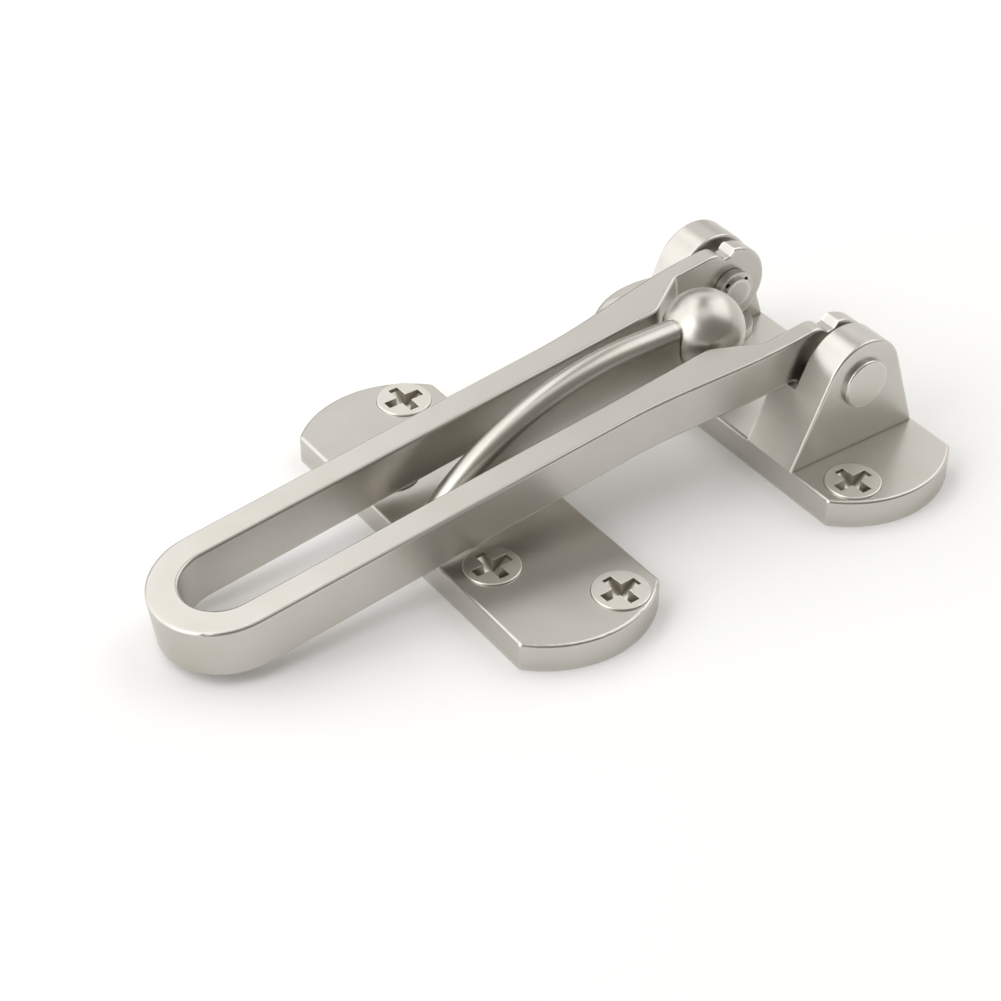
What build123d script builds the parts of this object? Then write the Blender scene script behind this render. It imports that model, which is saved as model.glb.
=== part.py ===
from build123d import *
from math import acos, asin, atan2, cos, degrees, hypot, radians, sin, sqrt, tan
import os

# Swing bar door guard in satin nickel: a hinge bracket with a slotted bar, and a keeper with a ball.
# Millimetres. X runs along the bar towards the hinge, Y along the hinge pins, Z out of the door.
# The origin is the middle of the hinge bracket's mounting face.

# The two mounting plates
plate_width = 24.2
plate_length = 68.2
plate_bow = 5.3
plate_thickness = 4.5
plate_corner_round = 0.8
plate_edge_round = 0.5
keeper_x = -55.1

# Hinge axis and the bar's closed position
pivot_x = 0.8
pivot_z = 15.8
closed_slope = 7.4

# Swing bar, measured along the bar from the hinge axis
bar_reach = 107.95
bar_depth = 7.3
bar_depth_end = 8.2
bar_end_radius = 10.8
bar_half_width = 11.1
bar_edge_round = 0.45
slot_half_width = 6.15
mouth_reach = 17.2
flare_reach = 36.0
flare_end_reach = 7.0
cheek_reach = 10.3
mouth_round = 2.5
cheek_round = 1.2

# Lugs of the bar at the hinge
lug_outer = 13.6
lug_thickness = 3.0
hub_radius = 6.75
hub_foot_round = 1.0
crest_round = 3.2
groove_depth = 1.6
groove_start_reach = 0.7
groove_end = 0.4
groove_round = 0.5
crown_foot_round = 1.0
facet_angle = 40.0

# Ears of the bracket
ear_gap = 1.2
ear_thickness = 5.8
ear_radius = 7.0
ear_foot_back = 11.8
ear_edge_round = 0.4

# Low stop block under each lug
block_half_opening = 10.4
block_ledge_reach = 9.2
ledge_clearance = 0.15
hub_clearance = 0.65
block_arc_end = 115.0
block_back = 8.6
block_back_height = 1.6
block_corner_radius = 4.7

# Hinge pins, their washers and retaining rings
pin_radius = 2.4
pin_head_radius = 3.95
pin_head_height = 0.85
pin_head_round = 0.35
pin_end_proud = 0.6
pin_fit = 0.05
running_clearance = 0.1
washer_radius = 4.2
ring_radius = 3.3
ring_thickness = 1.4
ring_groove_depth = 0.4
ring_opening = 3.2
ring_notch_radius = 0.45
ring_notch_angle = 42.0

# Keeper arm and ball
ball_radius = 6.35
ball_x = -13.2
ball_z = 19.1
arm_width = 4.3
arm_depth = 9.0
arm_crest_z = 22.9
arm_crest_x = -26.0
arm_foot_inset = 1.5
arm_end_x = -19.4
neck_inset = 0.25

# Countersunk wood screws
screw_head_radius = 4.25
screw_head_proud = 0.3
screw_rim = 0.35
screw_cone_angle = 82.0
screw_neck_radius = 2.1
screw_core_radius = 1.75
screw_length = 25.0
screw_tip_length = 5.0
screw_neck_below = 0.8
screw_seat_gap = 0.05
screw_hole_clearance = 0.25
recess_span = 6.4
recess_width = 1.35
recess_end_depth = 0.5
recess_depth = 2.1
recess_pit_radius = 0.75
recess_mouth_radius = 1.2

bracket_screw_x = -6.0
bracket_screw_inset = 6.7
bracket_middle_screw_x = 6.0
keeper_outer_screw_x = 6.0
keeper_outer_screw_inset = 6.4
keeper_inner_screw_x = -5.7
keeper_inner_screw_y = 13.1

# Places worked out from the sizes above
plate_straight = plate_length - 2 * plate_bow
lug_inner = lug_outer - lug_thickness
ear_inner = lug_outer + ear_gap
ear_outer = ear_inner + ear_thickness
groove_floor_z = bar_depth - groove_depth
arm_foot_x = keeper_x - plate_width / 2 + arm_foot_inset
arm_rise = arm_crest_z - plate_thickness
arm_crest_radius = ((arm_crest_x - arm_foot_x) ** 2 + arm_rise ** 2) / (2 * arm_rise)
bracket_screw_y = plate_length / 2 - bracket_screw_inset
keeper_outer_screw_y = plate_length / 2 - keeper_outer_screw_inset

# Name, plate centre, place on the plate and turn of the cross recess
SCREWS = [
    ("bracket_screw_near", 0.0, bracket_screw_x, -bracket_screw_y, 2.0),
    ("bracket_screw_far", 0.0, bracket_screw_x, bracket_screw_y, 3.0),
    ("bracket_screw_middle", 0.0, bracket_middle_screw_x, 0.0, 1.0),
    ("keeper_screw_near_outer", keeper_x, keeper_outer_screw_x, -keeper_outer_screw_y, 4.0),
    ("keeper_screw_near_inner", keeper_x, keeper_inner_screw_x, -keeper_inner_screw_y, 2.0),
    ("keeper_screw_far_inner", keeper_x, keeper_inner_screw_x, keeper_inner_screw_y, 3.0),
    ("keeper_screw_far_outer", keeper_x, keeper_outer_screw_x, keeper_outer_screw_y, 1.0),
]


def on_circle(centre_x, centre_y, radius, angle):
    """Point of a circle at an angle in degrees."""
    return (centre_x + radius * cos(radians(angle)), centre_y + radius * sin(radians(angle)))


def tangent_angle(foot_x, foot_y, centre_x, centre_y, radius, side):
    """Angle on a circle where the line from an outside foot touches it."""
    dx = foot_x - centre_x
    dy = foot_y - centre_y
    return degrees(atan2(dy, dx)) + side * degrees(acos(radius / hypot(dx, dy)))


def side_plane(y):
    """Sketch plane with X along the part and Y upwards, facing towards minus Y."""
    return Plane(origin=(0, y, 0), x_dir=(1, 0, 0), z_dir=(0, -1, 0))


def extrude_across(face, y_from, y_to):
    """Extrude a side profile from one Y to another."""
    return extrude(side_plane(y_from) * face, amount=y_from - y_to)


def placed_on_pivot(shape):
    """Move a shape from the bar's own frame at the pivot to its closed place."""
    return Pos(pivot_x, 0, pivot_z) * Rot(0, -closed_slope, 0) * shape


def mounting_plate():
    """Plate with straight sides and bowed ends, its mounting face at z = 0."""
    half_width = plate_width / 2
    half_straight = plate_straight / 2
    half_length = plate_length / 2
    with BuildLine() as outline:
        Line((-half_width, -half_straight), (-half_width, half_straight))
        ThreePointArc((-half_width, half_straight), (0, half_length), (half_width, half_straight))
        Line((half_width, half_straight), (half_width, -half_straight))
        ThreePointArc((half_width, -half_straight), (0, -half_length), (-half_width, -half_straight))
    plate = extrude(make_face(outline.line), amount=plate_thickness)
    plate = fillet(plate.edges().filter_by(Axis.Z), plate_corner_round)
    return fillet(plate.faces().sort_by(Axis.Z)[-1].edges(), plate_edge_round)


def cone_depth(radius):
    """Depth below the head's rim where the screw's cone has shrunk to a radius."""
    return (screw_head_radius - radius) / tan(radians(screw_cone_angle / 2))


def screw_hole():
    """Countersink and shank hole to cut from a plate, with z = 0 at its mounting face."""
    top = plate_thickness + screw_head_proud
    rim_z = top - screw_rim
    hole_radius = screw_neck_radius + screw_hole_clearance
    wide = screw_head_radius + screw_seat_gap
    cone_end = rim_z - cone_depth(screw_neck_radius)
    with BuildLine() as outline:
        Polyline((0, -1), (hole_radius, -1), (hole_radius, cone_end), (screw_neck_radius + screw_seat_gap, cone_end),
                 (wide, rim_z), (wide, top + 1), (0, top + 1), close=True)
    return revolve(Plane.XZ * make_face(outline.line), axis=Axis.Z)


def cross_recess():
    """Cross recess with sloping wing floors and a pit in the middle, its mouth at z = 0."""
    half_span = recess_span / 2
    with BuildLine() as outline:
        Polyline((-half_span, 1), (-half_span, -recess_end_depth), (-recess_pit_radius, -recess_depth),
                 (recess_pit_radius, -recess_depth), (half_span, -recess_end_depth), (half_span, 1), close=True)
    wing = extrude_across(make_face(outline.line), -recess_width / 2, recess_width / 2)
    pit = Cone(recess_pit_radius, recess_mouth_radius, recess_depth, align=(Align.CENTER, Align.CENTER, Align.MAX))
    return wing + Rot(0, 0, 90) * wing + pit


def wood_screw(turn):
    """Countersunk screw with a cross recess, standing with z = 0 at the mounting face."""
    top = plate_thickness + screw_head_proud
    rim_z = top - screw_rim
    cone_end = rim_z - cone_depth(screw_neck_radius)
    tip_z = top - screw_length
    with BuildLine() as outline:
        Polyline((0, top), (screw_head_radius, top), (screw_head_radius, rim_z), (screw_neck_radius, cone_end),
                 (screw_neck_radius, -screw_neck_below), (screw_core_radius, -2 * screw_neck_below),
                 (screw_core_radius, tip_z + screw_tip_length), (0, tip_z), close=True)
    screw = revolve(Plane.XZ * make_face(outline.line), axis=Axis.Z)
    rim = screw.edges().filter_by(GeomType.CIRCLE).sort_by(Axis.Z)[-1]
    screw = fillet(rim, screw_rim / 2)
    return screw - Pos(0, 0, top) * Rot(0, 0, turn) * cross_recess()


def ear_profile():
    """Side view of an ear: two straight flanks that run into a round top about the hinge axis."""
    front = (-plate_width / 2, plate_thickness)
    back = (ear_foot_back, plate_thickness)
    front_angle = tangent_angle(*front, pivot_x, pivot_z, ear_radius, -1)
    back_angle = tangent_angle(*back, pivot_x, pivot_z, ear_radius, 1)
    front_tangent = on_circle(pivot_x, pivot_z, ear_radius, front_angle)
    back_tangent = on_circle(pivot_x, pivot_z, ear_radius, back_angle)
    crown = on_circle(pivot_x, pivot_z, ear_radius, 90)
    with BuildLine() as outline:
        Line((front[0], 0), front)
        Line(front, front_tangent)
        ThreePointArc(front_tangent, crown, back_tangent)
        Line(back_tangent, back)
        Line(back, (back[0], 0))
        Line((back[0], 0), (front[0], 0))
    return make_face(outline.line)


def block_profile():
    """Side view of the stop block: a ledge under the leg, a hollow round the hub and a low back."""
    front_x = -plate_width / 2
    front_angle = tangent_angle(front_x, plate_thickness, pivot_x, pivot_z, ear_radius, -1)
    tangent = on_circle(pivot_x, pivot_z, ear_radius, front_angle)
    ledge_front_z = leg_underside_z(pivot_x - block_ledge_reach) - ledge_clearance
    share = (ledge_front_z - plate_thickness) / (tangent[1] - plate_thickness)
    ledge_front_x = front_x + share * (tangent[0] - front_x)
    hollow = hub_radius + hub_clearance
    ledge_angle = 180.0 + closed_slope + degrees(asin(ledge_clearance / hollow))
    ledge_back = on_circle(pivot_x, pivot_z, hollow, ledge_angle)
    hollow_middle = on_circle(pivot_x, pivot_z, hollow, (ledge_angle + 360 - block_arc_end) / 2)
    hollow_end = on_circle(pivot_x, pivot_z, hollow, 360 - block_arc_end)
    back_z = plate_thickness + block_back_height
    with BuildLine() as outline:
        Line((front_x, 0), (front_x, plate_thickness))
        Line((front_x, plate_thickness), (ledge_front_x, ledge_front_z))
        Line((ledge_front_x, ledge_front_z), ledge_back)
        ThreePointArc(ledge_back, hollow_middle, hollow_end)
        Line(hollow_end, (hollow_end[0] + hollow_end[1] - back_z, back_z))
        Line((hollow_end[0] + hollow_end[1] - back_z, back_z), (block_back, back_z))
        Line((block_back, back_z), (block_back, 0))
        Line((block_back, 0), (front_x, 0))
    return make_face(outline.line)


def leg_underside_z(x):
    """Height of the closed bar's flat underside near the hinge at a place along X."""
    return pivot_z - (pivot_x - x) * tan(radians(closed_slope))


def stop_block():
    """Low block beside an ear, on the plus Y side."""
    block = extrude_across(block_profile(), block_half_opening, ear_inner + ear_edge_round)
    corner = block.edges().filter_by(Axis.Z).filter_by_position(
        Axis.X, block_back - 0.01, block_back + 0.01).sort_by(Axis.Y)[0]
    return fillet(corner, block_corner_radius)


def ear():
    """One ear on the plus Y side, its outer rim rounded."""
    shape = extrude_across(ear_profile(), ear_inner, ear_outer)
    faces = shape.faces().sort_by(Axis.Y)
    rims = [edge for face in (faces[0], faces[-1]) for edge in face.edges()
            if edge.center().Z > plate_thickness + 0.1]
    return fillet(rims, ear_edge_round)


def hinge_bracket():
    """Plate with two ears, two stop blocks, pin bores and countersunk holes."""
    half = ear() + stop_block()
    bracket = mounting_plate() + half + mirror(half, Plane.XZ)
    bore = Plane(origin=(pivot_x, 0, pivot_z), z_dir=(0, 1, 0)) * Cylinder(pin_radius + pin_fit, 2 * plate_length)
    bracket -= bore
    for name, centre, x, y, turn in SCREWS:
        if centre == 0.0:
            bracket -= Pos(x, y, 0) * screw_hole()
    return bracket


def bar_plan():
    """Plan of the bar in its own frame: closed round end, slot, S-shaped flare and wide mouth."""
    end_x = bar_end_radius - bar_reach
    past_hub = 2 * hub_radius
    touch = tangent_angle(-flare_reach, bar_half_width, end_x, 0, bar_end_radius, 1)
    flank_start = on_circle(end_x, 0, bar_end_radius, touch)
    flank_end = (-flare_reach, bar_half_width)
    flank_run = (flank_end[0] - flank_start[0], flank_end[1] - flank_start[1])
    with BuildLine() as outer:
        Line(flank_start, flank_end)
        Spline(flank_end, (-flare_end_reach, lug_outer), tangents=[flank_run, (1, 0)])
        Polyline((-flare_end_reach, lug_outer), (past_hub, lug_outer), (past_hub, 0), (-bar_reach, 0))
        ThreePointArc((-bar_reach, 0), on_circle(end_x, 0, bar_end_radius, (touch + 180) / 2), flank_start)
    half = make_face(outer.line)
    with BuildLine() as inner:
        Polyline((end_x, slot_half_width), (-mouth_reach, slot_half_width), (-cheek_reach, lug_inner),
                 (2 * past_hub, lug_inner), (2 * past_hub, -lug_inner), (-cheek_reach, -lug_inner),
                 (-mouth_reach, -slot_half_width), (end_x, -slot_half_width))
        ThreePointArc((end_x, -slot_half_width), (end_x - slot_half_width, 0), (end_x, slot_half_width))
    slot = make_face(inner.line)
    slot = fillet([v for v in slot.vertices() if abs(v.X + mouth_reach) < 0.01], mouth_round)
    slot = fillet([v for v in slot.vertices() if abs(v.X + cheek_reach) < 0.01], cheek_round)
    return half + mirror(half, Plane.XZ) - slot


def bar_side():
    """Side view of the bar in its own frame: rounded crest, groove floor and round hub."""
    end_x = -2 * bar_reach
    end_low = bar_depth - bar_depth_end
    crest_run = sqrt(crest_round ** 2 - (crest_round - groove_depth) ** 2)
    crest_start = (-groove_start_reach - crest_run, bar_depth)
    crest_end = (-groove_start_reach, groove_floor_z)
    floor_end = (sqrt(hub_radius ** 2 - groove_floor_z ** 2), groove_floor_z)
    foot = (-hub_radius, 0)
    with BuildLine() as outline:
        Line((end_x, bar_depth), crest_start)
        TangentArc(crest_start, crest_end, tangent=(1, 0))
        Line(crest_end, floor_end)
        ThreePointArc(floor_end, on_circle(0, 0, hub_radius, -30), foot)
        Polyline(foot, (end_x, end_low * 2), (end_x, bar_depth))
    face = make_face(outline.line)
    for corner, radius in ((crest_end, groove_round), (floor_end, crown_foot_round), (foot, hub_foot_round)):
        near = [v for v in face.vertices() if hypot(v.X - corner[0], v.Y - corner[1]) < 0.01]
        face = fillet(near, radius)
    return face


def hub_crown():
    """Top of a hub that stands behind the groove, with its flat slanted front, on the plus Y side."""
    hub = extrude_across(Circle(hub_radius), lug_inner, lug_outer)
    hub = fillet(hub.edges().filter_by(GeomType.CIRCLE), bar_edge_round)
    above = 2 * bar_depth
    facet_run = (above - groove_floor_z) / tan(radians(facet_angle))
    with BuildLine() as outline:
        Polyline((groove_end, pin_radius + bar_edge_round), (groove_end, groove_floor_z),
                 (groove_end + facet_run, above), (3 * hub_radius, above),
                 (3 * hub_radius, pin_radius + bar_edge_round), close=True)
    return hub & extrude_across(make_face(outline.line), 0, plate_width)


def swing_bar():
    """Slotted bar with two grooved lugs, bored for the pins, in its closed place."""
    tall = 4 * bar_depth
    plan = extrude(Plane.XY.offset(-tall / 2) * bar_plan(), amount=tall)
    bar = plan & extrude_across(bar_side(), -plate_width, plate_width)
    long_edges = [edge for edge in bar.edges() if not runs_along_z(edge) and not runs_along_y(edge)]
    bar = fillet(long_edges, bar_edge_round)
    bar += hub_crown() + mirror(hub_crown(), Plane.XZ)
    bar -= Plane(origin=(0, 0, 0), z_dir=(0, 1, 0)) * Cylinder(pin_radius + running_clearance, 2 * plate_width)
    return placed_on_pivot(bar)


def runs_along_z(edge):
    """True for a straight edge that stands upright."""
    span = (edge @ 1) - (edge @ 0)
    return abs(span.X) < 0.001 and abs(span.Y) < 0.001


def runs_along_y(edge):
    """True for a straight edge that lies across the bar."""
    span = (edge @ 1) - (edge @ 0)
    return edge.geom_type == GeomType.LINE and abs(span.X) < 0.001 and abs(span.Z) < 0.001


def hinge_pin():
    """Headed pin on the plus Y side, grooved near its inner end."""
    end_y = lug_inner - running_clearance - ring_thickness - pin_end_proud
    groove_out = lug_inner - running_clearance
    groove_in = groove_out - ring_thickness
    groove_radius = pin_radius - ring_groove_depth
    head_y = ear_outer + pin_head_height
    with BuildLine() as outline:
        Polyline((0, end_y), (pin_radius, end_y), (pin_radius, groove_in), (groove_radius, groove_in),
                 (groove_radius, groove_out), (pin_radius, groove_out), (pin_radius, ear_outer),
                 (pin_head_radius, ear_outer), (pin_head_radius, head_y), (0, head_y), close=True)
    pin = revolve(make_face(outline.line), axis=Axis.Y)
    circles = pin.edges().filter_by(GeomType.CIRCLE).sort_by(Axis.Y)
    pin = fillet(circles[-1], pin_head_round)
    return Pos(pivot_x, 0, pivot_z) * pin


def flat_ring(outer, inner, y_from, y_to):
    """Ring about the hinge axis between two Y places."""
    ring = Circle(outer) - Circle(inner)
    return Pos(pivot_x, 0, pivot_z) * extrude_across(ring, y_from, y_to)


def spacer_washer():
    """Washer that fills the gap between a lug and its ear."""
    return flat_ring(washer_radius, pin_radius + running_clearance, lug_outer + running_clearance, ear_inner)


def retaining_ring():
    """Open ring clipped into the pin's groove against the lug's inner face."""
    outer_y = lug_inner - running_clearance
    bore = pin_radius - ring_groove_depth
    ring = Circle(ring_radius) - Circle(bore)
    ring -= Pos(0, -ring_radius) * Rectangle(ring_opening, 2 * ring_radius)
    for angle in (ring_notch_angle, 180 - ring_notch_angle):
        ring -= Pos(*on_circle(0, 0, pin_radius, angle)) * Circle(ring_notch_radius)
    return Pos(pivot_x, 0, pivot_z) * extrude_across(ring, outer_y - ring_thickness, outer_y)


def arm_profile(end_x, inset):
    """Side view of the keeper arm: an arc from the plate, running level into the ball."""
    centre_z = arm_crest_z - arm_crest_radius
    top_radius = arm_crest_radius - inset
    low_radius = arm_crest_radius - arm_depth + inset
    rise = plate_thickness / 2 - centre_z
    top_foot_x = arm_crest_x - sqrt(top_radius ** 2 - rise ** 2)
    low_foot_x = arm_crest_x - sqrt(low_radius ** 2 - rise ** 2)
    foot_z = plate_thickness / 2
    top_z = centre_z + top_radius
    low_z = centre_z + low_radius
    top_angle = (degrees(atan2(rise, top_foot_x - arm_crest_x)) + 90) / 2
    low_angle = (degrees(atan2(rise, low_foot_x - arm_crest_x)) + 90) / 2
    with BuildLine() as outline:
        ThreePointArc((top_foot_x, foot_z), on_circle(arm_crest_x, centre_z, top_radius, top_angle),
                      (arm_crest_x, top_z))
        Line((arm_crest_x, top_z), (end_x, top_z))
        Line((end_x, top_z), (end_x, low_z))
        Line((end_x, low_z), (arm_crest_x, low_z))
        ThreePointArc((arm_crest_x, low_z), on_circle(arm_crest_x, centre_z, low_radius, low_angle),
                      (low_foot_x, foot_z))
        Line((low_foot_x, foot_z), (top_foot_x, foot_z))
    return make_face(outline.line)


def rounded_arm(end_x, inset):
    """Arm with a fully rounded crest."""
    half = arm_width / 2 - inset
    arm = extrude_across(arm_profile(end_x, inset), -half, half)
    centre_z = arm_crest_z - arm_crest_radius
    middle = arm_crest_radius - arm_depth / 2
    crest = [edge for edge in arm.edges()
             if abs(abs(edge.center().Y) - half) < 0.01
             and abs(edge.center().X - end_x) > 0.01
             and edge.center().Z > plate_thickness
             and hypot(min(edge.center().X - arm_crest_x, 0), edge.center().Z - centre_z) > middle]
    return fillet(crest, half - 0.05)


def keeper():
    """Plate, arched arm and ball, cast as one piece."""
    body = mounting_plate()
    arm = rounded_arm(arm_end_x, 0)
    neck = rounded_arm(ball_x, neck_inset)
    ball = Pos(ball_x, 0, ball_z) * Sphere(ball_radius)
    body = Pos(keeper_x, 0, 0) * body + arm + neck + ball
    for name, centre, x, y, turn in SCREWS:
        if centre == keeper_x:
            body -= Pos(centre + x, y, 0) * screw_hole()
    return body


def build():
    """Every node of the door guard by name."""
    nodes = {
        "hinge_bracket": hinge_bracket(),
        "swing_bar": swing_bar(),
        "keeper": keeper(),
    }
    for side, flip in (("far", False), ("near", True)):
        for name, shape in (("hinge_pin", hinge_pin()), ("spacer_washer", spacer_washer()),
                            ("retaining_ring", retaining_ring())):
            nodes[f"{name}_{side}"] = mirror(shape, Plane.XZ) if flip else shape
    for name, centre, x, y, turn in SCREWS:
        nodes[name] = Pos(centre + x, y, 0) * wood_screw(turn)
    return nodes


os.makedirs("parts", exist_ok=True)
for node_name, node_shape in build().items():
    export_step(node_shape, f"parts/{node_name}.step")
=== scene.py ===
import math

import bpy
from bpy.props import FloatProperty, FloatVectorProperty, IntProperty, PointerProperty
from bpy.types import Operator, Panel, PropertyGroup
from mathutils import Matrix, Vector


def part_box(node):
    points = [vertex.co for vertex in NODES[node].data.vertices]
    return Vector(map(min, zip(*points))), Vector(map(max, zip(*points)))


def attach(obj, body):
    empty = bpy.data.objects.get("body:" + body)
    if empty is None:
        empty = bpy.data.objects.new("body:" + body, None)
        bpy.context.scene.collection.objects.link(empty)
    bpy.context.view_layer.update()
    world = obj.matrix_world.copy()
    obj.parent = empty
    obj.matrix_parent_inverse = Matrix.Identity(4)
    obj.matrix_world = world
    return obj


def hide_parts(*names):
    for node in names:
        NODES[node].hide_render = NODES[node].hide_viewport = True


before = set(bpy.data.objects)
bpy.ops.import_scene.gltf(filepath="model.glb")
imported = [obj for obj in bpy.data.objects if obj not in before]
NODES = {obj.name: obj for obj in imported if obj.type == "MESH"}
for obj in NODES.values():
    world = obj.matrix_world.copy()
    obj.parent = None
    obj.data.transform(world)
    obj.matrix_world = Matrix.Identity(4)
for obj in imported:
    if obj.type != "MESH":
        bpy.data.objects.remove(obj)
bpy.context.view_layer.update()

bl_info = {
    "name": "Swing Bar Door Guard",
    "version": (1, 0, 0),
    "blender": (4, 5, 0),
    "location": "View3D > Sidebar > Door Guard",
    "description": "Finishes a satin nickel door guard and models its wood screws",
    "category": "Object",
}

MM = 0.001
CASTINGS = ("hinge_bracket", "swing_bar", "keeper")
PINS = ("hinge_pin_near", "hinge_pin_far")
WASHERS = ("spacer_washer_near", "spacer_washer_far")
RINGS = ("retaining_ring_near", "retaining_ring_far")

# Degrees by which each screw's cross is turned.
SCREW_TURNS = {
    "bracket_screw_near": 2.0,
    "bracket_screw_far": 3.0,
    "bracket_screw_middle": 1.0,
    "keeper_screw_near_outer": 4.0,
    "keeper_screw_near_inner": 2.0,
    "keeper_screw_far_inner": 3.0,
    "keeper_screw_far_outer": 1.0,
}

# Name, azimuth and elevation in degrees, width and height in metres, power in watts.
SOFTBOXES = (
    ("left softbox", 184.0, 24.0, 0.75, 1.1, 5.8),
    ("far left softbox", 136.0, 24.0, 1.3, 1.1, 6.4),
    ("far softbox", 58.0, 35.0, 1.8, 0.5, 2.75),
    ("high softbox", 132.0, 62.0, 1.7, 0.5, 4.6),
    ("right softbox", 350.0, 48.0, 1.1, 0.95, 4.8),
    ("low right softbox", 5.0, 12.0, 1.8, 0.55, 2.1),
    ("top softbox", 270.0, 82.0, 0.9, 0.6, 1.45),
)
# Point that the softboxes face.
AIM = Vector((-0.05, 0.0, 0.01))
FLOOR_DROP = 0.05 * MM
SENSOR_WIDTH = 36.0
# Nearest and furthest distance that the camera sees.
VIEW_RANGE = (0.01, 20.0)

# How open a point is where the mask of the edges (polish and a painted highlight) or of the
# corners (painted shade) is full, and where it ends.
EDGE_LIMITS = (0.55, 0.9)
CORNER_SHADE_LIMITS = (0.35, 0.8)
MASK_SAMPLES = 8
PATCH_DETAIL = 3.0
GRAIN_DETAIL = 2.0
# How far the patches and the grain move the roughness either way.
PATCH_ROUGHNESS = 0.015
GRAIN_ROUGHNESS = 0.01
# No colour is lightened past this.
BRIGHTEST = 0.95
# Distance between the rings of a wave texture of scale 1.
WAVE_PERIOD = 0.314
MARKS_DISTORTION = 0.4
MARKS_DETAIL = 2.0
# Height of the lathe's marks against that of the grain.
MARKS_HEIGHT = 0.35

HEAD_SIDES = 72
ROUNDING_STEPS = 4
# Levels of the shank, measured from the plates' mounting faces.
NECK_END = -0.8 * MM
SHANK_START = -1.6 * MM
SHANK_END = -3.4 * MM
CORE_START = -4.0 * MM
SHANK_RADIUS = 1.75 * MM
# Height above the tip as a share of the point's length, and radius as a share of the core's.
POINT_PROFILE = ((1.0, 1.0), (0.35, 0.5), (0.04, 0.09), (0.0, 0.02))

# How far a wing's cutter stands out above the head.
CUTTER_RISE = 0.5 * MM
# Width of a wing's foot against that of its top.
WING_FOOT = 0.82
PIT_SIDES = 24
# Height and end radius of the pit's point as shares of the pit's radius.
PIT_POINT = 0.35
PIT_END = 0.1
BROKEN_EDGE_ANGLE = math.radians(50.0)
SMOOTH_ANGLE = math.radians(35.0)
HEAD_MERGE = 0.002 * MM
SHORTEST_EDGE = 0.001 * MM
SORTING_POINT = (0.0123, 0.0271, 0.0419)

THREAD_CORNERS = 3
# Start of the thread above the tip, in pitches.
THREAD_START = 0.6
HELIX_STEPS = 28
THREAD_MERGE = 0.001 * MM
RUN_OUT_STEPS = 16
# Power of the share of the point's length with which the thread grows.
POINT_GROWTH = 0.6


class NickelSettings(PropertyGroup):
    """Satin nickel plating of the castings and the turned parts."""

    colour: FloatVectorProperty(
        name="Colour", description="Reflected colour of the plating",
        subtype="COLOR", size=3, min=0.0, max=1.0, default=(0.573, 0.557, 0.522))
    warm_colour: FloatVectorProperty(
        name="Warm patches", description="Colour of the faint warmer patches",
        subtype="COLOR", size=3, min=0.0, max=1.0, default=(0.55, 0.526, 0.482))
    # Lighter colour on convex edges: a painted highlight; the polish itself is the edges' lower
    # roughness.
    edge_highlight_colour: FloatVectorProperty(
        name="Edges", description="Colour of the edges that the polishing wheel rubbed",
        subtype="COLOR", size=3, min=0.0, max=1.0, default=(0.67, 0.653, 0.615))
    # Darker colour in corners and gaps between parts: painted shade.
    corner_shade_colour: FloatVectorProperty(
        name="Corners", description="Duller colour in corners the wheel can't reach",
        subtype="COLOR", size=3, min=0.0, max=1.0, default=(0.34, 0.315, 0.262))
    roughness: FloatProperty(
        name="Roughness", description="Mean roughness of the satin surface",
        subtype="FACTOR", min=0.0, max=1.0, default=0.33)
    edge_roughness: FloatProperty(
        name="Edge roughness", description="Roughness of the rubbed edges",
        subtype="FACTOR", min=0.0, max=1.0, default=0.27)
    edge_width: FloatProperty(
        name="Edge width", description="How far the rubbing reaches in from an edge",
        subtype="DISTANCE", unit="LENGTH", min=0.0, default=0.8 * MM)
    # Width of the painted shade in corners.
    corner_shade_width: FloatProperty(
        name="Corner width", description="How far the dull metal reaches out of a corner",
        subtype="DISTANCE", unit="LENGTH", min=0.0, default=0.7 * MM)
    patch_size: FloatProperty(
        name="Patch size", description="Size of the faint warmer patches",
        subtype="DISTANCE", unit="LENGTH", min=0.0001, default=9.0 * MM)
    grain: FloatProperty(
        name="Grain", description="Width of the fine satin grain",
        subtype="DISTANCE", unit="LENGTH", min=0.00001, default=0.12 * MM)
    grain_height: FloatProperty(
        name="Grain height", description="Height of the fine satin grain",
        subtype="DISTANCE", unit="LENGTH", min=0.0, default=0.0003 * MM)
    turning_pitch: FloatProperty(
        name="Turning marks", description="Distance between the lathe's marks",
        subtype="DISTANCE", unit="LENGTH", min=0.00001, default=0.22 * MM)


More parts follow.
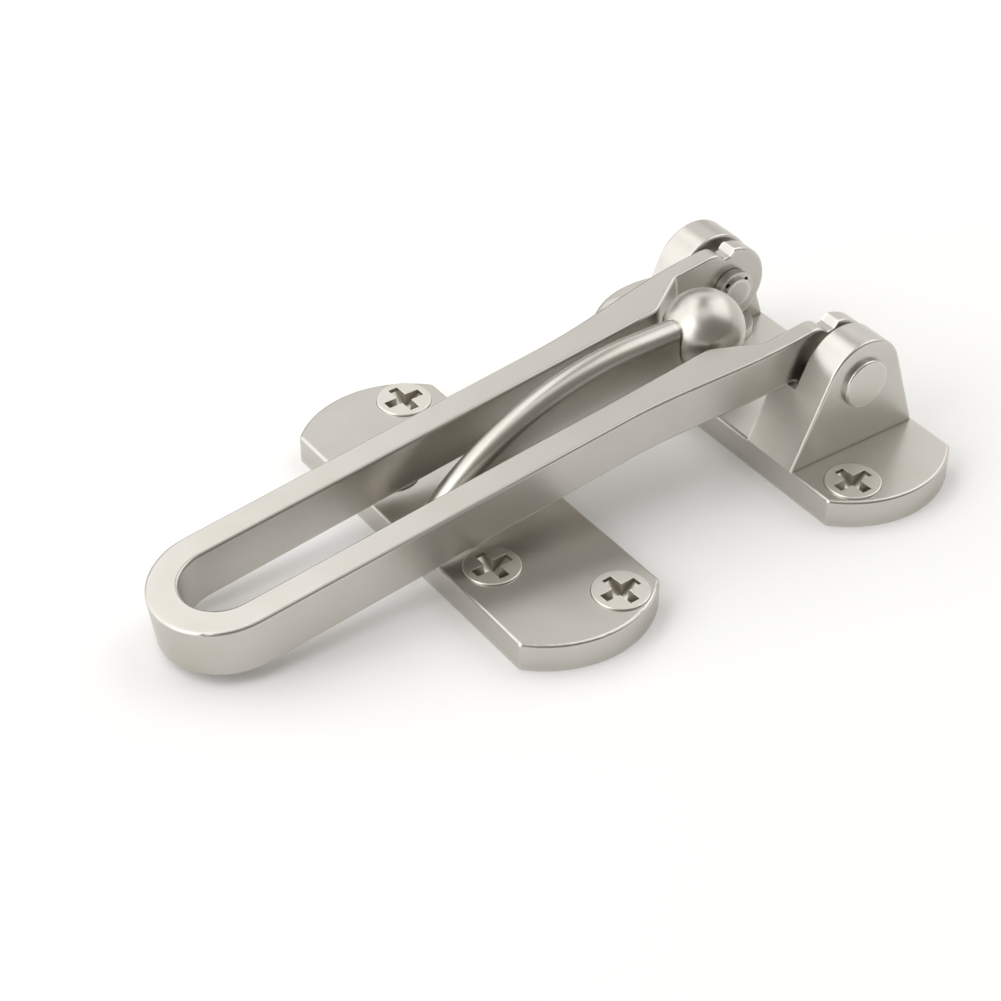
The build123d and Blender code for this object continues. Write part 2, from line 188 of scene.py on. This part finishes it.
class ScrewSettings(PropertyGroup):
    """Countersunk wood screws with a cross recess."""

    head_radius: FloatProperty(
        name="Head radius", description="Radius of the countersunk head",
        subtype="DISTANCE", unit="LENGTH", default=4.25 * MM)
    rim: FloatProperty(
        name="Rim", description="Height of the head's straight rim",
        subtype="DISTANCE", unit="LENGTH", default=0.35 * MM)
    rim_round: FloatProperty(
        name="Rim rounding", description="Radius of the rounded top edge of the head",
        subtype="DISTANCE", unit="LENGTH", default=0.175 * MM)
    cone_angle: FloatProperty(
        name="Cone angle", description="Angle of the countersink",
        subtype="ANGLE", unit="ROTATION", default=math.radians(82.0))
    neck_radius: FloatProperty(
        name="Neck radius", description="Radius of the smooth neck under the head",
        subtype="DISTANCE", unit="LENGTH", default=2.1 * MM)
    core_radius: FloatProperty(
        name="Core radius", description="Radius at the root of the thread",
        subtype="DISTANCE", unit="LENGTH", default=1.5 * MM)
    thread_radius: FloatProperty(
        name="Thread radius", description="Radius at the crest of the thread",
        subtype="DISTANCE", unit="LENGTH", default=2.05 * MM)
    pitch: FloatProperty(
        name="Pitch", description="Rise of the thread in one turn",
        subtype="DISTANCE", unit="LENGTH", default=1.7 * MM)
    turns: IntProperty(
        name="Turns", description="Turns of the thread", min=3, max=14, default=9)
    tip_length: FloatProperty(
        name="Tip length", description="Length of the tapered point",
        subtype="DISTANCE", unit="LENGTH", default=5.0 * MM)
    recess_span: FloatProperty(
        name="Recess span", description="Length of a wing of the cross from end to end",
        subtype="DISTANCE", unit="LENGTH", default=6.2 * MM)
    recess_width: FloatProperty(
        name="Recess width", description="Width of a wing of the cross",
        subtype="DISTANCE", unit="LENGTH", default=1.6 * MM)
    recess_end_depth: FloatProperty(
        name="Wing end depth", description="Depth of the cross at a wing's end",
        subtype="DISTANCE", unit="LENGTH", default=0.65 * MM)
    recess_depth: FloatProperty(
        name="Recess depth", description="Depth of the cross in the middle",
        subtype="DISTANCE", unit="LENGTH", default=2.1 * MM)
    pit_radius: FloatProperty(
        name="Pit radius", description="Radius of the pit at the bottom of the cross",
        subtype="DISTANCE", unit="LENGTH", default=0.75 * MM)
    mouth_radius: FloatProperty(
        name="Mouth radius", description="Radius of the pit at the top of the head",
        subtype="DISTANCE", unit="LENGTH", default=1.2 * MM)
    recess_edge: FloatProperty(
        name="Recess edge", description="Width of the broken edge round the cross",
        subtype="DISTANCE", unit="LENGTH", default=0.06 * MM)


class StudioSettings(PropertyGroup):
    """Floor, light and camera."""

    floor_colour: FloatVectorProperty(
        name="Floor", description="Colour of the pale floor",
        subtype="COLOR", size=3, min=0.0, max=1.0, default=(0.93, 0.93, 0.925))
    floor_size: FloatProperty(
        name="Floor size", description="Side of the square floor",
        subtype="DISTANCE", unit="LENGTH", default=2.4)
    room_colour: FloatVectorProperty(
        name="Room", description="Colour of the even light from all round",
        subtype="COLOR", size=3, min=0.0, max=1.0, default=(1.0, 0.96, 0.87))
    room_light: FloatProperty(
        name="Room light", description="Strength of the even light from all round",
        min=0.0, default=0.25)
    softbox_light: FloatProperty(
        name="Softbox light", description="Strength of all softboxes together",
        min=0.0, default=1.0)
    softbox_distance: FloatProperty(
        name="Softbox distance", description="Distance of the softboxes from the object",
        subtype="DISTANCE", unit="LENGTH", default=1.2)
    azimuth: FloatProperty(
        name="Azimuth", description="Turn of the camera round the object",
        subtype="ANGLE", unit="ROTATION", default=math.radians(-34.84))
    elevation: FloatProperty(
        name="Elevation", description="Height angle of the camera",
        subtype="ANGLE", unit="ROTATION", default=math.radians(38.17))
    place: FloatVectorProperty(
        name="Camera place", description="Where the camera stands",
        subtype="TRANSLATION", unit="LENGTH", size=3, default=(-0.20854, -0.22746, 0.22102))
    lens: FloatProperty(
        name="Lens", description="Focal length in millimetres on a 36 mm sensor",
        min=10.0, default=86.28)


def deselect():
    """Leave edit mode and select nothing."""
    if bpy.context.object and bpy.context.object.mode != "OBJECT":
        bpy.ops.object.mode_set(mode="OBJECT")
    bpy.ops.object.select_all(action="DESELECT")


def select_only(piece):
    """Make a piece the active one and the only one selected."""
    deselect()
    bpy.context.view_layer.objects.active = piece
    piece.select_set(True)


def edit_all():
    """Go into edit mode with everything selected."""
    bpy.ops.object.mode_set(mode="EDIT")
    bpy.ops.mesh.select_all(action="SELECT")


def leave_edit():
    """Go back to object mode."""
    bpy.ops.object.mode_set(mode="OBJECT")


def settle():
    """Put the selected piece's place, turn and size into its mesh."""
    bpy.ops.object.transform_apply(location=True, rotation=True, scale=True)


def new_material(name, viewport):
    """Principled material and its shader."""
    material = bpy.data.materials.new(name)
    material.use_nodes = True
    material.diffuse_color = (*viewport, 1.0)
    return material, material.node_tree.nodes["Principled BSDF"]


def noise(tree, place, size, detail):
    """Noise whose spots are about as large as size."""
    node = tree.nodes.new("ShaderNodeTexNoise")
    node.inputs["Scale"].default_value = 1.0 / size
    node.inputs["Detail"].default_value = detail
    tree.links.new(place, node.inputs["Vector"])
    return node.outputs["Fac"]


def remap(tree, value, low, high, from_low=0.3, from_high=0.7):
    """Value between two levels, from noise or a mask."""
    node = tree.nodes.new("ShaderNodeMapRange")
    node.inputs["From Min"].default_value = from_low
    node.inputs["From Max"].default_value = from_high
    node.inputs["To Min"].default_value = low
    node.inputs["To Max"].default_value = high
    tree.links.new(value, node.inputs["Value"])
    return node.outputs["Result"]


def calculate(tree, operation, first, second):
    """Math node on a socket and a number or a second socket."""
    node = tree.nodes.new("ShaderNodeMath")
    node.operation = operation
    tree.links.new(first, node.inputs[0])
    if isinstance(second, float):
        node.inputs[1].default_value = second
    else:
        tree.links.new(second, node.inputs[1])
    return node.outputs["Value"]


def blend_colours(tree, factor, first, second):
    """Mix of two colours; the first may be a socket."""
    node = tree.nodes.new("ShaderNodeMix")
    node.data_type = "RGBA"
    tree.links.new(factor, node.inputs["Factor"])
    if hasattr(first, "links"):
        tree.links.new(first, node.inputs["A"])
    else:
        node.inputs["A"].default_value = (*first, 1.0)
    node.inputs["B"].default_value = (*second, 1.0)
    return node.outputs["Result"]


def openness(tree, distance, inside):
    """How open a point is to the room or, inside, to the metal, where a convex edge is low."""
    node = tree.nodes.new("ShaderNodeAmbientOcclusion")
    node.samples = MASK_SAMPLES
    node.inside = inside
    node.only_local = True
    node.inputs["Distance"].default_value = distance
    return node.outputs["AO"]


def place_from(tree, centre):
    """Place in the object, measured from a centre."""
    place = tree.nodes.new("ShaderNodeTexCoord")
    mapping = tree.nodes.new("ShaderNodeMapping")
    mapping.inputs["Location"].default_value = -centre
    tree.links.new(place.outputs["Object"], mapping.inputs["Vector"])
    return mapping.outputs["Vector"]


def own_place(tree):
    """Place on a screw before it was set into its hole, kept in the mesh."""
    node = tree.nodes.new("ShaderNodeAttribute")
    node.attribute_name = "screw_place"
    return node.outputs["Vector"]


def turning_marks(tree, place, axis, pitch):
    """Fine rings that the lathe left round an axis."""
    node = tree.nodes.new("ShaderNodeTexWave")
    node.wave_type = "RINGS"
    node.rings_direction = axis
    node.inputs["Scale"].default_value = WAVE_PERIOD / pitch
    node.inputs["Distortion"].default_value = MARKS_DISTORTION
    node.inputs["Detail"].default_value = MARKS_DETAIL
    tree.links.new(place, node.inputs["Vector"])
    return node.outputs["Fac"]


def hinge_marks(pitch):
    """Function that draws the lathe's marks round the hinge's axis in a material."""
    low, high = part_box(PINS[0])
    middle = (low + high) / 2
    return lambda tree: turning_marks(tree, place_from(tree, middle), "Y", pitch)


def screw_marks(pitch):
    """Function that draws the lathe's marks round a screw's axis in a material."""
    return lambda tree: turning_marks(tree, own_place(tree), "Z", pitch)


def nickel(name, plating, lightness=1.0, roughness_shift=0.0, edge_share=1.0, corner_shade_share=1.0,
           marks=None):
    """Satin nickel: faint warm patches, fine grain, polished edges with a painted highlight,
    painted shade in corners, lathe marks.
    """
    colour = [channel * lightness for channel in plating.colour]
    warm_colour = [channel * lightness for channel in plating.warm_colour]
    edge_highlight_colour = [min(channel * lightness, BRIGHTEST) for channel in plating.edge_highlight_colour]
    material, shader = new_material(name, colour)
    tree = material.node_tree
    place = tree.nodes.new("ShaderNodeTexCoord").outputs["Object"]
    patches = noise(tree, place, plating.patch_size, PATCH_DETAIL)
    grain = noise(tree, place, plating.grain, GRAIN_DETAIL)
    # Convex edges get lower roughness and a painted highlight; corners get painted shade.
    edge = openness(tree, plating.edge_width * edge_share, inside=True)
    corner = openness(tree, plating.corner_shade_width * corner_shade_share, inside=False)
    edges = remap(tree, edge, 1.0, 0.0, *EDGE_LIMITS)
    corners = remap(tree, corner, 1.0, 0.0, *CORNER_SHADE_LIMITS)

    tint = blend_colours(tree, remap(tree, patches, 0.0, 1.0), colour, warm_colour)
    # Painted highlight on the edges, then painted shade in the corners.
    tint = blend_colours(tree, edges, tint, edge_highlight_colour)
    tint = blend_colours(tree, corners, tint, plating.corner_shade_colour)
    tree.links.new(tint, shader.inputs["Base Color"])

    mean = plating.roughness + roughness_shift
    patchy = remap(tree, patches, mean - PATCH_ROUGHNESS, mean + PATCH_ROUGHNESS)
    grainy = remap(tree, grain, -GRAIN_ROUGHNESS, GRAIN_ROUGHNESS)
    polish = calculate(tree, "MULTIPLY", edges, plating.roughness - plating.edge_roughness)
    roughness = calculate(tree, "SUBTRACT", calculate(tree, "ADD", patchy, grainy), polish)
    tree.links.new(roughness, shader.inputs["Roughness"])

    height = grain
    if marks:
        height = calculate(tree, "ADD", grain,
                           calculate(tree, "MULTIPLY", marks(tree), MARKS_HEIGHT))
    bump = tree.nodes.new("ShaderNodeBump")
    bump.inputs["Distance"].default_value = plating.grain_height
    tree.links.new(height, bump.inputs["Height"])
    tree.links.new(bump.outputs["Normal"], shader.inputs["Normal"])
    shader.inputs["Metallic"].default_value = 1.0
    return material


def dress(names, material):
    """Give CAD nodes a material in all their slots."""
    for name in names:
        for slot in NODES[name].material_slots:
            slot.material = material


class GUARD_OT_castings(Operator):
    """Plate the bracket, the bar and the keeper"""

    bl_idname = "guard.castings"
    bl_label = "Finish Castings"

    def execute(self, context):
        dress(CASTINGS, nickel("satin nickel", context.scene.guard_nickel))
        return {"FINISHED"}


class GUARD_OT_pins(Operator):
    """Plate the two hinge pins"""

    bl_idname = "guard.pins"
    bl_label = "Finish Pins"

    def execute(self, context):
        plating = context.scene.guard_nickel
        dress(PINS, nickel("pin nickel", plating, lightness=1.04, roughness_shift=-0.03,
                           marks=hinge_marks(plating.turning_pitch)))
        return {"FINISHED"}


class GUARD_OT_rings(Operator):
    """Finish the washers and retaining rings"""

    bl_idname = "guard.rings"
    bl_label = "Finish Rings"

    def execute(self, context):
        plating = context.scene.guard_nickel
        dress(WASHERS + RINGS, nickel("ring steel", plating, lightness=0.96, roughness_shift=0.02,
                                      marks=hinge_marks(plating.turning_pitch)))
        return {"FINISHED"}


def edit_lowest_face(piece):
    """Go into edit mode with only the lowest face selected."""
    bpy.ops.object.mode_set(mode="EDIT")
    bpy.ops.mesh.select_mode(type="FACE")
    bpy.ops.mesh.select_all(action="DESELECT")
    leave_edit()
    min(piece.data.polygons, key=lambda face: face.center.z).select = True
    bpy.ops.object.mode_set(mode="EDIT")


def extrude_end(height, factor_x, factor_y, level):
    """Extrude the selected end by a height and resize it about the axis at its new level."""
    bpy.ops.mesh.extrude_region_move(TRANSFORM_OT_translate={"value": (0.0, 0.0, height)})
    bpy.ops.transform.resize(value=(factor_x, factor_y, 1.0), center_override=(0.0, 0.0, level))


def apply_modifiers(piece):
    """Apply every modifier of a piece in order."""
    select_only(piece)
    for modifier in list(piece.modifiers):
        bpy.ops.object.modifier_apply(modifier=modifier.name)


def sort_mesh(piece):
    """Number vertices, edges and faces by their distance from a point off every symmetry plane."""
    bpy.context.scene.cursor.location = SORTING_POINT
    select_only(piece)
    edit_all()
    bpy.ops.mesh.sort_elements(type="CURSOR_DISTANCE", elements={"VERT", "EDGE", "FACE"})
    leave_edit()


def cut(piece, tool):
    """Take a tool's shape out of a piece and delete the tool.

    The boolean numbers its result in another order each time, so the mesh is sorted.
    """
    modifier = piece.modifiers.new("cut", "BOOLEAN")
    modifier.operation = "DIFFERENCE"
    modifier.solver = "EXACT"
    modifier.object = tool
    apply_modifiers(piece)
    select_only(tool)
    bpy.ops.object.delete()
    sort_mesh(piece)


def screw_blank(sizes, top, tip):
    """Head, neck, core and point: a disc extruded down ring by ring."""
    deselect()
    flat = sizes.head_radius - sizes.rim_round
    bpy.ops.mesh.primitive_circle_add(vertices=HEAD_SIDES, radius=flat, fill_type="NGON",
                                      location=(0.0, 0.0, top))
    blank = bpy.context.object
    cone_height = (sizes.head_radius - sizes.neck_radius) / math.tan(sizes.cone_angle / 2)
    rings = []
    for step in range(1, ROUNDING_STEPS + 1):
        angle = step * math.pi / 2 / ROUNDING_STEPS
        rings.append((top - sizes.rim_round * (1 - math.cos(angle)),
                      flat + sizes.rim_round * math.sin(angle)))
    rings += [
        (top - sizes.rim, sizes.head_radius),
        (top - sizes.rim - cone_height, sizes.neck_radius),
        (NECK_END, sizes.neck_radius),
        (SHANK_START, SHANK_RADIUS),
        (SHANK_END, SHANK_RADIUS),
        (CORE_START, sizes.core_radius),
    ]
    rings += [(tip + share * sizes.tip_length, part * sizes.core_radius)
              for share, part in POINT_PROFILE]
    edit_all()
    level, radius = top, flat
    for next_level, next_radius in rings:
        factor = next_radius / radius
        extrude_end(next_level - level, factor, factor, next_level)
        level, radius = next_level, next_radius
    bpy.ops.mesh.select_all(action="SELECT")
    bpy.ops.mesh.normals_make_consistent(inside=False)
    leave_edit()
    settle()
    return blank


def recess_wing(sizes, top, turn):
    """Cutter of one wing of the cross: a block whose lower end is drawn in over the pit."""
    deselect()
    block = CUTTER_RISE + sizes.recess_end_depth
    middle = top + CUTTER_RISE - block / 2
    bpy.ops.mesh.primitive_cube_add(size=1.0, location=(0.0, 0.0, middle),
                                    scale=(sizes.recess_span, sizes.recess_width, block))
    wing = bpy.context.object
    edit_lowest_face(wing)
    drop = sizes.recess_depth - sizes.recess_end_depth
    narrowing = 2 * sizes.pit_radius / sizes.recess_span
    extrude_end(-drop, narrowing, WING_FOOT, top - sizes.recess_depth)
    leave_edit()
    select_only(wing)
    wing.rotation_euler.z = turn
    settle()
    return wing


def recess_pit(sizes, top):
    """Cutter of the pit in the middle of the cross: a cone with a pointed bottom."""
    deselect()
    bpy.ops.mesh.primitive_cone_add(vertices=PIT_SIDES, radius1=sizes.pit_radius,
                                    radius2=sizes.mouth_radius, depth=sizes.recess_depth,
                                    location=(0.0, 0.0, top - sizes.recess_depth / 2))
    pit = bpy.context.object
    edit_lowest_face(pit)
    extrude_end(-PIT_POINT * sizes.pit_radius, PIT_END, PIT_END, top - sizes.recess_depth)
    leave_edit()
    return pit


def shrink_band(piece, low, high, factor):
    """Draw the vertices between two heights in towards the screw's axis."""
    bpy.ops.object.mode_set(mode="EDIT")
    bpy.ops.mesh.select_mode(type="VERT")
    bpy.ops.mesh.select_all(action="DESELECT")
    leave_edit()
    for vertex in piece.data.vertices:
        vertex.select = low <= vertex.co.z < high
    bpy.ops.object.mode_set(mode="EDIT")
    if piece.data.total_vert_sel:
        bpy.ops.transform.resize(value=(factor, factor, 1.0), center_override=(0.0, 0.0, low))
    leave_edit()


def run_out(thread, start, span, factor):
    """Let the thread run out band by band; factor gives the size for a share of the span."""
    half = 0.5 * abs(span) / RUN_OUT_STEPS
    for step in range(RUN_OUT_STEPS):
        share = (step + 0.5) / RUN_OUT_STEPS
        middle = start + share * span
        shrink_band(thread, middle - half, middle + half, factor(share))


def screw_thread(sizes, tip):
    """Wood thread: a three-cornered profile turned into a helix that runs out at both ends."""
    deselect()
    rise = sizes.thread_radius - sizes.core_radius
    start = tip + THREAD_START * sizes.pitch
    root = (sizes.core_radius, 0.0, start)
    bpy.ops.mesh.primitive_circle_add(vertices=THREAD_CORNERS, radius=rise, fill_type="NOTHING",
                                      location=root, rotation=(math.pi / 2, 0.0, 0.0))
    thread = bpy.context.object
    settle()
    edit_all()
    bpy.ops.transform.rotate(value=-math.pi / 2, orient_axis="Y", center_override=root)
    leave_edit()
    helix = thread.modifiers.new("helix", "SCREW")
    helix.axis = "Z"
    helix.screw_offset = sizes.pitch
    helix.iterations = sizes.turns
    helix.steps = HELIX_STEPS
    helix.render_steps = HELIX_STEPS
    apply_modifiers(thread)
    edit_all()
    bpy.ops.mesh.remove_doubles(threshold=THREAD_MERGE)
    bpy.ops.mesh.fill_holes(sides=THREAD_CORNERS)
    bpy.ops.mesh.select_all(action="SELECT")
    bpy.ops.mesh.normals_make_consistent(inside=False)
    leave_edit()
    run_out(thread, tip, sizes.tip_length, lambda share: share ** POINT_GROWTH)
    end = start + sizes.pitch * sizes.turns
    least = sizes.core_radius / sizes.thread_radius
    run_out(thread, end + rise, -sizes.pitch, lambda share: least + (1 - least) * share)
    return thread


def break_edges(piece, width):
    """Break a screw's sharp edges and merge what falls together."""
    edge = piece.modifiers.new("edge", "BEVEL")
    edge.width = width
    edge.segments = 2
    edge.use_clamp_overlap = False
    edge.limit_method = "ANGLE"
    edge.angle_limit = BROKEN_EDGE_ANGLE
    apply_modifiers(piece)
    edit_all()
    bpy.ops.mesh.remove_doubles(threshold=HEAD_MERGE)
    bpy.ops.mesh.dissolve_degenerate(threshold=SHORTEST_EDGE)
    leave_edit()


def screw_master(sizes, plating):
    """Finished screw on the z axis that all others are copied from."""
    low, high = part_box("keeper_screw_near_outer")
    master = screw_blank(sizes, high.z, low.z)
    cut(master, recess_wing(sizes, high.z, 0.0))
    cut(master, recess_wing(sizes, high.z, math.pi / 2))
    cut(master, recess_pit(sizes, high.z))
    break_edges(master, sizes.recess_edge)
    thread = screw_thread(sizes, low.z)
    select_only(master)
    thread.select_set(True)
    bpy.ops.object.join()
    bpy.ops.object.shade_smooth_by_angle(angle=SMOOTH_ANGLE)
    shading = master.modifiers.new("shading", "WEIGHTED_NORMAL")
    shading.weight = 100
    shading.keep_sharp = True
    apply_modifiers(master)
    master.data.materials.clear()
    # The screws get less of the painted edge highlight and a wider painted shade round their
    # corners and rims.
    master.data.materials.append(
        nickel("screw nickel", plating, lightness=1.32, roughness_shift=0.05, edge_share=0.3,
               corner_shade_share=3.0, marks=screw_marks(plating.turning_pitch)))
    own = master.data.attributes.new("screw_place", "FLOAT_VECTOR", "POINT")
    for vertex, place in zip(master.data.vertices, own.data):
        place.vector = vertex.co
    return master


def screw_copy(master, name, node, turn):
    """Copy the screw with a mesh of its own, turn it and set it into its hole."""
    piece = master.copy()
    piece.data = master.data.copy()
    piece.name = name
    bpy.context.scene.collection.objects.link(piece)
    low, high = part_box(node)
    select_only(piece)
    piece.location = ((low.x + high.x) / 2, (low.y + high.y) / 2, 0.0)
    piece.rotation_euler.z = math.radians(turn)
    settle()
    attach(piece, "mounted")
    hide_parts(node)


class GUARD_OT_screws(Operator):
    """Model one threaded wood screw and set a copy into every hole"""

    bl_idname = "guard.screws"
    bl_label = "Model Screws"

    def execute(self, context):
        master = screw_master(context.scene.guard_screws, context.scene.guard_nickel)
        for node, turn in SCREW_TURNS.items():
            screw_copy(master, "wood_" + node, node, turn)
        select_only(master)
        bpy.ops.object.delete()
        return {"FINISHED"}


def direction(azimuth, elevation):
    """Unit vector away from the object, at an azimuth from the x axis and an elevation."""
    return Vector((math.cos(azimuth) * math.cos(elevation),
                   math.sin(azimuth) * math.cos(elevation), math.sin(elevation)))


def softbox(name, azimuth, elevation, width, height, power, distance):
    """Hang a large area light that faces the object."""
    way = direction(math.radians(azimuth), math.radians(elevation))
    deselect()
    bpy.ops.object.light_add(type="AREA", location=AIM + way * distance)
    light = bpy.context.object
    light.name = name
    light.rotation_euler = way.to_track_quat("Z", "Y").to_euler()
    light.data.shape = "RECTANGLE"
    light.data.size = width
    light.data.size_y = height
    light.data.energy = power
    light.visible_camera = False


def lay_floor(studio):
    """Lay a square pale floor just under the guard."""
    deselect()
    bpy.ops.mesh.primitive_plane_add(size=studio.floor_size, location=(0.0, 0.0, -FLOOR_DROP))
    floor = bpy.context.object
    floor.name = "floor"
    material, shader = new_material("pale floor", studio.floor_colour)
    shader.inputs["Base Color"].default_value = (*studio.floor_colour, 1.0)
    shader.inputs["Roughness"].default_value = 0.9
    shader.inputs["Specular IOR Level"].default_value = 0.1
    floor.data.materials.append(material)


def fill_room(studio, scene):
    """Light the scene evenly from all round; the camera sees the floor's colour instead."""
    world = bpy.data.worlds.new("room")
    scene.world = world
    world.use_nodes = True
    nodes, link = world.node_tree.nodes, world.node_tree.links.new
    room = nodes["Background"]
    room.inputs["Color"].default_value = (*studio.room_colour, 1.0)
    room.inputs["Strength"].default_value = studio.room_light
    backdrop = nodes.new("ShaderNodeBackground")
    backdrop.inputs["Color"].default_value = (*studio.floor_colour, 1.0)
    ray = nodes.new("ShaderNodeLightPath")
    seen = nodes.new("ShaderNodeMixShader")
    link(ray.outputs["Is Camera Ray"], seen.inputs["Fac"])
    link(room.outputs["Background"], seen.inputs[1])
    link(backdrop.outputs["Background"], seen.inputs[2])
    link(seen.outputs["Shader"], nodes["World Output"].inputs["Surface"])


def place_camera(studio, scene):
    """Place the camera, look through it and show colours as they are."""
    data = bpy.data.cameras.new("camera")
    camera = bpy.data.objects.new("camera", data)
    scene.collection.objects.link(camera)
    data.sensor_width = SENSOR_WIDTH
    data.lens = studio.lens
    data.clip_start, data.clip_end = VIEW_RANGE
    back = direction(studio.azimuth - math.pi / 2, studio.elevation)
    camera.location = studio.place
    camera.rotation_euler = back.to_track_quat("Z", "Y").to_euler()
    scene.camera = camera
    scene.view_settings.view_transform = "Standard"


class GUARD_OT_studio(Operator):
    """Lay the floor, hang the lights and place the camera"""

    bl_idname = "guard.studio"
    bl_label = "Build Studio"

    def execute(self, context):
        studio = context.scene.guard_studio
        lay_floor(studio)
        for name, azimuth, elevation, width, height, power in SOFTBOXES:
            softbox(name, azimuth, elevation, width, height, power * studio.softbox_light,
                    studio.softbox_distance)
        fill_room(studio, context.scene)
        place_camera(studio, context.scene)
        return {"FINISHED"}


class GUARD_PT_panel(Panel):
    """Sidebar panel that lists the steps."""

    bl_label = "Door Guard"
    bl_idname = "GUARD_PT_panel"
    bl_space_type = "VIEW_3D"
    bl_region_type = "UI"
    bl_category = "Door Guard"

    def draw(self, context):
        for operator in STEPS:
            self.layout.operator(operator.bl_idname)


STEPS = (GUARD_OT_castings, GUARD_OT_pins, GUARD_OT_rings, GUARD_OT_screws, GUARD_OT_studio)
CLASSES = (NickelSettings, ScrewSettings, StudioSettings) + STEPS + (GUARD_PT_panel,)


def register():
    for cls in CLASSES:
        bpy.utils.register_class(cls)
    bpy.types.Scene.guard_nickel = PointerProperty(type=NickelSettings)
    bpy.types.Scene.guard_screws = PointerProperty(type=ScrewSettings)
    bpy.types.Scene.guard_studio = PointerProperty(type=StudioSettings)


def unregister():
    del bpy.types.Scene.guard_studio
    del bpy.types.Scene.guard_screws
    del bpy.types.Scene.guard_nickel
    for cls in reversed(CLASSES):
        bpy.utils.unregister_class(cls)


def main():
    register()
    bpy.ops.guard.castings()
    bpy.ops.guard.pins()
    bpy.ops.guard.rings()
    bpy.ops.guard.screws()
    bpy.ops.guard.studio()


if __name__ == "__main__":
    main()
